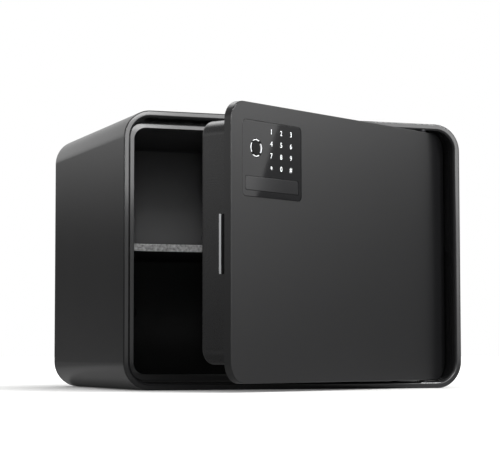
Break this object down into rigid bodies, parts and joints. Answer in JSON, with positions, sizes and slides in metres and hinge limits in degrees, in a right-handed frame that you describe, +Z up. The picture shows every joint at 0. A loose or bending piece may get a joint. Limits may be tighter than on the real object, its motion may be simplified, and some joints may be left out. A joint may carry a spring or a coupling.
{
  "type": "cabinet safe",
  "caption": "Small rounded steel safe, its recessed door ajar on pins, with fingerprint reader, touch keypad, motor-driven bolt and felt-covered shelf.",
  "frame": {"origin": "middle of the cabinet's footprint, on the floor it stands on", "axes": "+Z up, +X to the right seen from the front, +Y from the front to the back wall"},
  "size_m": [0.4, 0.4641, 0.3],
  "materials": {
    "body_coat": "dark charcoal powder coat, satin",
    "door_coat": "dark charcoal powder coat, smooth satin",
    "liner_paint": "dark grey paint, fine grain",
    "shelf_felt": "grey flocked felt",
    "mat_felt": "black needled felt",
    "zinc_steel": "zinc plated steel, satin",
    "bolt_steel": "ground bright steel",
    "brass": "machined brass",
    "black_plastic": "black injection moulded plastic, matt",
    "cover_plastic": "dark grey moulded plastic, fine grain",
    "keypad_glass": "back printed dark panel, polished",
    "sensor_black": "smoked sensor window",
    "light_ring": "white translucent light guide",
    "circuit_board": "green solder mask",
    "rubber": "black moulded rubber",
    "cell_wrap": "plain shrink sleeve",
    "ribbon": "grey flat cable",
    "red_plastic": "red moulded button"
  },
  "bodies": {
    "cabinet": {"outer_casing": "body_coat", "back_panel": "body_coat", "front_rim": "body_coat", "strike_frame": "body_coat", "inner_liner": "liner_paint", "floor_mat": "mat_felt", "shelf_ledge_left": "liner_paint", "shelf_ledge_right": "liner_paint", "back_anchor_grommet_left": "black_plastic", "back_anchor_grommet_right": "black_plastic", "base_anchor_grommet_left": "black_plastic", "base_anchor_grommet_right": "black_plastic", "hinge_pin_top": "zinc_steel", "hinge_pin_bottom": "zinc_steel", "stop_bumper_top": "rubber", "stop_bumper_bottom": "rubber"},
    "shelf": {"shelf_board": "liner_paint", "shelf_felt": "shelf_felt"},
    "door": {"door_front_plate": "door_coat", "door_back_sheet": "door_coat", "pivot_block_top": "zinc_steel", "pivot_block_bottom": "zinc_steel", "door_inner_cover": "cover_plastic", "cover_screw_1": "zinc_steel", "cover_screw_2": "zinc_steel", "cover_screw_3": "zinc_steel", "cover_screw_4": "zinc_steel", "mechanism_plate": "zinc_steel", "bolt_stop_pin": "zinc_steel", "bolt_guide_upper": "zinc_steel", "bolt_guide_lower": "zinc_steel", "motor_bracket": "zinc_steel", "gearbox_case": "brass", "motor_can": "zinc_steel", "keypad_housing": "black_plastic", "keypad_glass": "keypad_glass", "fingerprint_sensor": "sensor_black", "sensor_light_ring": "light_ring", "keypad_board": "circuit_board", "lock_cylinder": "brass", "backup_power_port": "black_plastic", "control_board": "circuit_board", "ribbon_cable": "ribbon", "battery_box": "black_plastic", "battery_cell_1": "cell_wrap", "battery_cell_2": "cell_wrap", "battery_cell_3": "cell_wrap", "battery_cell_4": "cell_wrap"},
    "bolt": {"bolt_plate": "bolt_steel"},
    "pinion": {"drive_pinion": "brass"},
    "key": {"key_plug": "zinc_steel", "key_cam": "zinc_steel"},
    "cover_strip": {"override_cover": "keypad_glass"},
    "cell_lid": {"battery_lid": "cover_plastic"},
    "reset": {"reset_button": "red_plastic"}
  },
  "joints": [
    {"name": "door_hinge", "type": "hinge", "parent": "cabinet", "child": "door", "pos_m": [0.1548, -0.1406, 0.15], "axis": [0, 0, 1], "range_deg": [-30, 60]},
    {"name": "bolt_throw", "type": "slide", "parent": "door", "child": "bolt", "axis": [-0.866, -0.5, 0], "range_m": [0, 0.014]},
    {"name": "pinion_turn", "type": "hinge", "parent": "door", "child": "pinion", "pos_m": [-0.06747, -0.24682, 0.1318], "axis": [0.5, -0.866, 0], "range_deg": [0, 111.5]},
    {"name": "key_turn", "type": "hinge", "parent": "door", "child": "key", "pos_m": [-0.07419, -0.26518, 0.2092], "axis": [-0.5, 0.866, 0], "range_deg": [0, 90]},
    {"name": "override_cover_pull", "type": "slide", "parent": "door", "child": "cover_strip", "axis": [0.5, -0.866, 0], "range_m": [0, 0.012]},
    {"name": "battery_lid_pull", "type": "slide", "parent": "door", "child": "cell_lid", "axis": [-0.5, 0.866, 0], "range_m": [0, 0.015]},
    {"name": "reset_button_press", "type": "slide", "parent": "door", "child": "reset", "axis": [0.5, -0.866, 0], "range_m": [0, 0.0015], "stiffness_N_per_m": 150},
    {"name": "shelf_lift", "type": "slide", "parent": "cabinet", "child": "shelf", "axis": [0, 0, 1], "range_m": [0, 0.1]}
  ],
  "couplings": [
    {"joint": "pinion_turn", "follows": "bolt_throw", "rad_per_m": 138.89}
  ]
}
